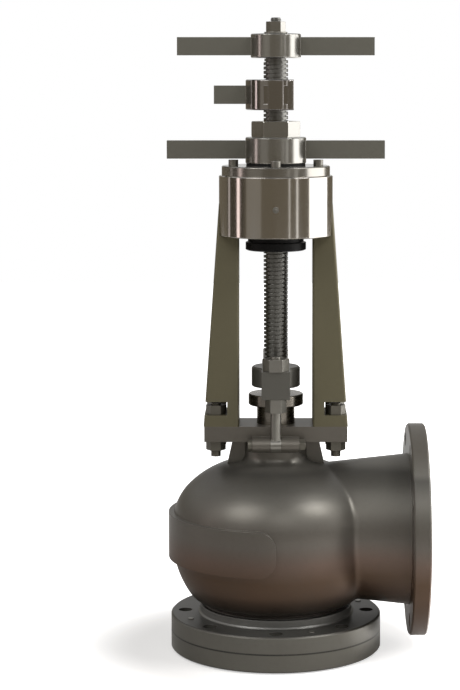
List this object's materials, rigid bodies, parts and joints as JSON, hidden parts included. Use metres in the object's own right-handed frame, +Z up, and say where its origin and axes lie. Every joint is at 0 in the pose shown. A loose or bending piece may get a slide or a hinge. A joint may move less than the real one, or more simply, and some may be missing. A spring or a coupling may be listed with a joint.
{
  "type": "slurry angle valve",
  "caption": "Angle globe valve for slurry: flanged bottom inlet and side outlet, rising stem in a two-leg yoke, turned by a bar handle on a thrust-bearing stem nut.",
  "frame": {"origin": "centre of the inlet raised face, which is the lowest face, on the stem axis", "axes": "+Z up along the stem, +X out of the side outlet, -Y towards the viewer of the picture"},
  "size_m": [0.4255, 0.353, 1.036],
  "materials": {
    "cast_body": "sand-cast steel, dark phosphated, smooth",
    "flange_steel": "machined and phosphated",
    "leg_steel": "dark phosphated steel, satin",
    "bar_steel": "dark phosphated bar, satin",
    "polished_steel": "turned and polished",
    "stem_steel": "turned, threaded",
    "fastener_steel": "hexagon fasteners, satin",
    "hard_steel": "hard-faced and ground",
    "bearing_steel": "ground bearing steel",
    "bronze": "machined bronze",
    "black_seal": "black, satin",
    "packing": "braided graphite yarn",
    "gasket": "graphite sheet"
  },
  "bodies": {
    "valve": {"valve_body": "cast_body", "seat_flange": "flange_steel", "seat_flange_screws": "fastener_steel", "seat_ring": "hard_steel", "seat_gasket": "gasket", "left_leg": "leg_steel", "right_leg": "leg_steel", "throat_bush": "bronze", "packing_rings": "packing", "gland_follower": "polished_steel", "gland_plate": "flange_steel", "gland_eyebolts": "fastener_steel", "eyebolt_pins": "fastener_steel", "eyebolt_pin_nuts": "fastener_steel", "gland_nuts": "fastener_steel", "gland_jam_nuts": "fastener_steel", "leg_studs": "fastener_steel", "leg_upper_nuts": "fastener_steel", "leg_lower_nuts": "fastener_steel", "bearing_housing": "polished_steel", "housing_cap": "polished_steel", "shaft_seal": "black_seal", "dust_ring": "black_seal", "cap_screws": "fastener_steel", "grease_nipple": "bronze", "lower_housing_washer": "bearing_steel", "upper_housing_washer": "bearing_steel"},
    "drive": {"stem_nut": "bronze", "drive_handle": "bar_steel", "drive_handle_nut": "polished_steel", "drive_handle_key": "fastener_steel", "lower_shaft_washer": "bearing_steel", "upper_shaft_washer": "bearing_steel"},
    "lower_rollers": {"lower_roller_set": "bearing_steel"},
    "upper_rollers": {"upper_roller_set": "bearing_steel"},
    "lock": {"lock_lever": "polished_steel"},
    "stem_group": {"stem": "stem_steel", "plug": "hard_steel", "plug_pin": "stem_steel", "top_handle": "bar_steel", "top_handle_key": "fastener_steel", "top_handle_washer": "fastener_steel", "top_handle_nut": "fastener_steel"}
  },
  "joints": [
    {"name": "drive_turn", "type": "hinge", "parent": "valve", "child": "drive", "pos_m": [0, 0, 0.75], "axis": [0, 0, 1], "range_deg": [0, 3342.8]},
    {"name": "stem_lift", "type": "slide", "parent": "valve", "child": "lock", "axis": [0, 0, 1], "range_m": [0, 0.065]},
    {"name": "stem_turn", "type": "hinge", "parent": "lock", "child": "stem_group", "pos_m": [0, 0, 0.75], "axis": [0, 0, 1], "continuous": true},
    {"name": "lower_rollers_turn", "type": "hinge", "parent": "valve", "child": "lower_rollers", "pos_m": [0, 0, 0.75], "axis": [0, 0, 1], "range_deg": [0, 1672]},
    {"name": "upper_rollers_turn", "type": "hinge", "parent": "valve", "child": "upper_rollers", "pos_m": [0, 0, 0.75], "axis": [0, 0, 1], "range_deg": [0, 1672]}
  ],
  "couplings": [
    {"joint": "stem_lift", "follows": "drive_turn", "m_per_rad": 0.0011141},
    {"joint": "lower_rollers_turn", "follows": "drive_turn", "ratio": 0.5},
    {"joint": "upper_rollers_turn", "follows": "drive_turn", "ratio": 0.5}
  ]
}
